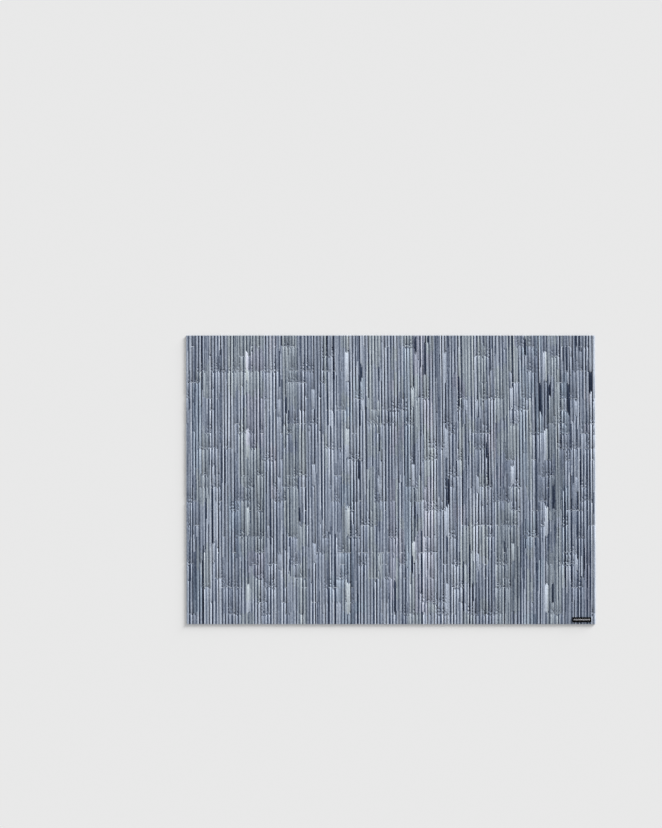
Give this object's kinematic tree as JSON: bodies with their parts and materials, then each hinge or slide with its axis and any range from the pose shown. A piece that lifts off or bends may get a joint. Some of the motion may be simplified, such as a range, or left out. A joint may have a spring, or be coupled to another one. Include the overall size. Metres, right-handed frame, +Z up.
{
  "type": "bamboo placemat",
  "caption": "Flat rectangular woven placemat with upright blue-grey cords, clean cut edges and a small blank black label in one corner.",
  "frame": {"origin": "centre of the flat underside, on the surface that the mat lies on", "axes": "+X along the long side towards the label's corner, +Y along the cords towards the far long edge, +Z up out of the mat's face"},
  "size_m": [0.483, 0.341, 0.0026],
  "materials": {
    "woven_yarn": "smooth coated yarns in navy, mid blue-grey and pale grey-blue, satin",
    "label_tape": "close black tape, matt"
  },
  "bodies": {
    "root": {"placemat": "woven_yarn", "label": "label_tape"}
  },
  "joints": []
}
